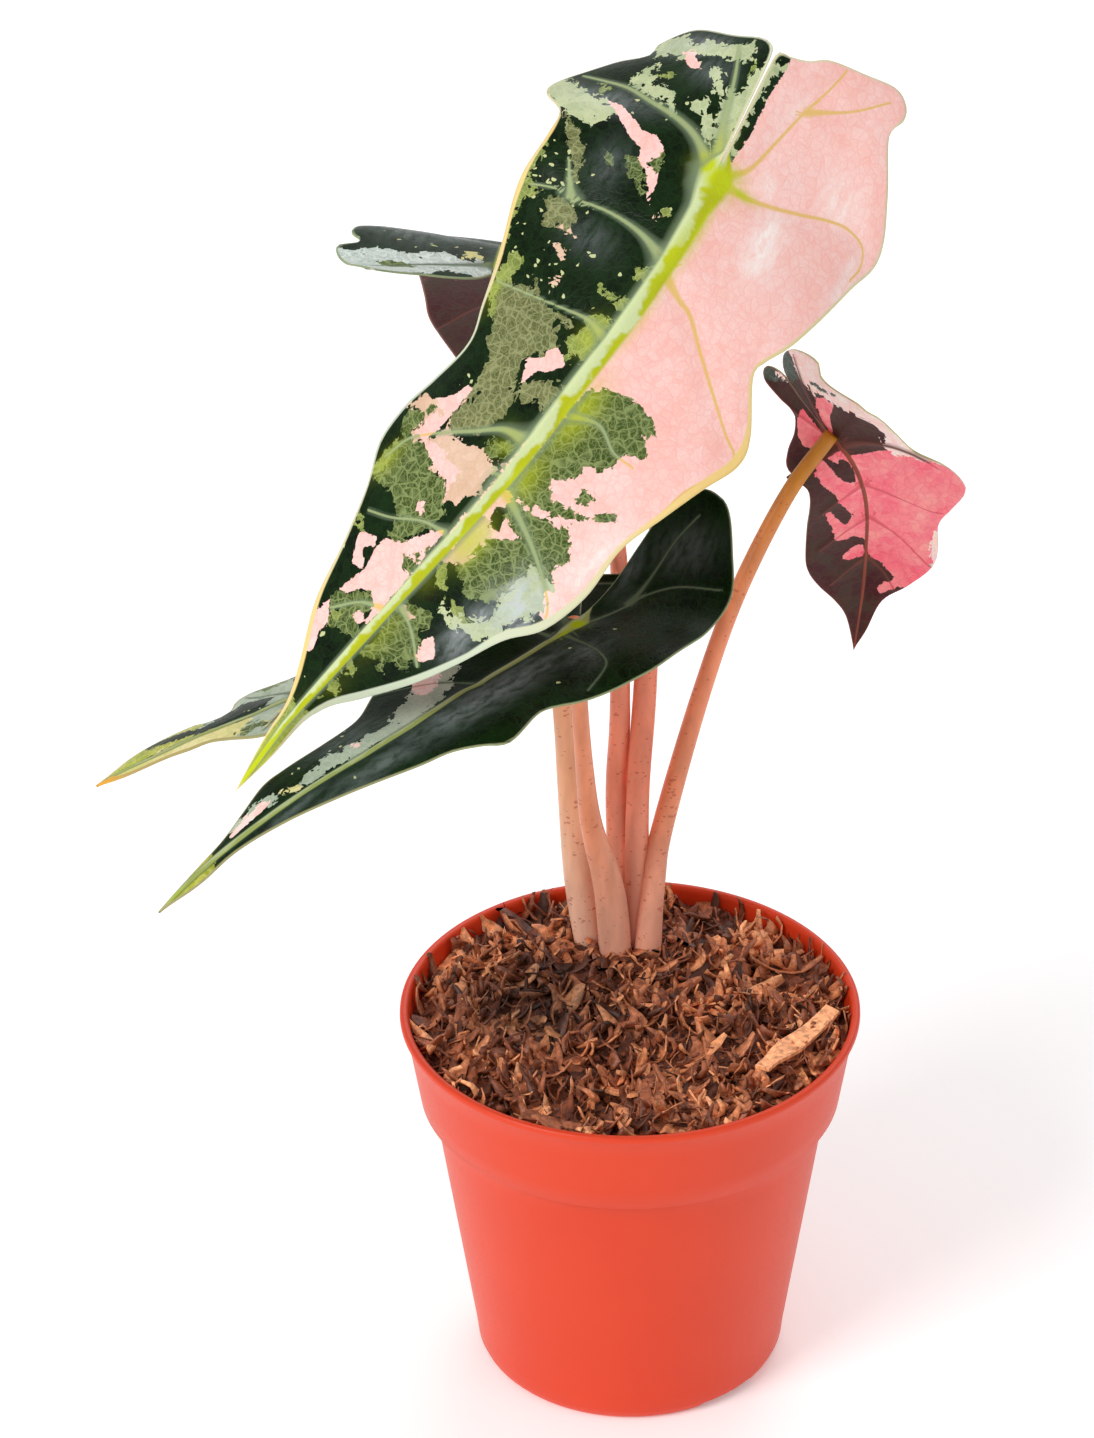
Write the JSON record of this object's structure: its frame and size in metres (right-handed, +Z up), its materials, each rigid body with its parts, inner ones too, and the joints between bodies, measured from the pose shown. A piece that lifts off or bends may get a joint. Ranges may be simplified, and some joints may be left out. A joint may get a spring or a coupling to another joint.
{
  "type": "potted variegated alocasia polly",
  "caption": "Houseplant with arrow-shaped pink, cream and dark green variegated leaves on bare salmon-pink stalks, rising from a bark mix in a round tapered plastic nursery pot.",
  "frame": {"origin": "centre of the pot's flat base, on the surface it stands on", "axes": "+Z up the pot's axis; -Y is the pictured front, which the large leaf hangs over; +X is to the right of it"},
  "size_m": [0.2219, 0.1897, 0.3659],
  "materials": {
    "leaf": "satin",
    "stalk": "satin",
    "corm": "rough",
    "growing_mix": "rough",
    "pot": "satin"
  },
  "bodies": {
    "root": {"corm": "corm", "leaf_1": "leaf", "stalk_1": "stalk", "leaf_2": "leaf", "stalk_2": "stalk", "leaf_3": "leaf", "stalk_3": "stalk", "leaf_4": "leaf", "stalk_4": "stalk", "leaf_5": "leaf", "stalk_5": "stalk", "growing_mix": "growing_mix", "pot": "pot"}
  },
  "joints": []
}
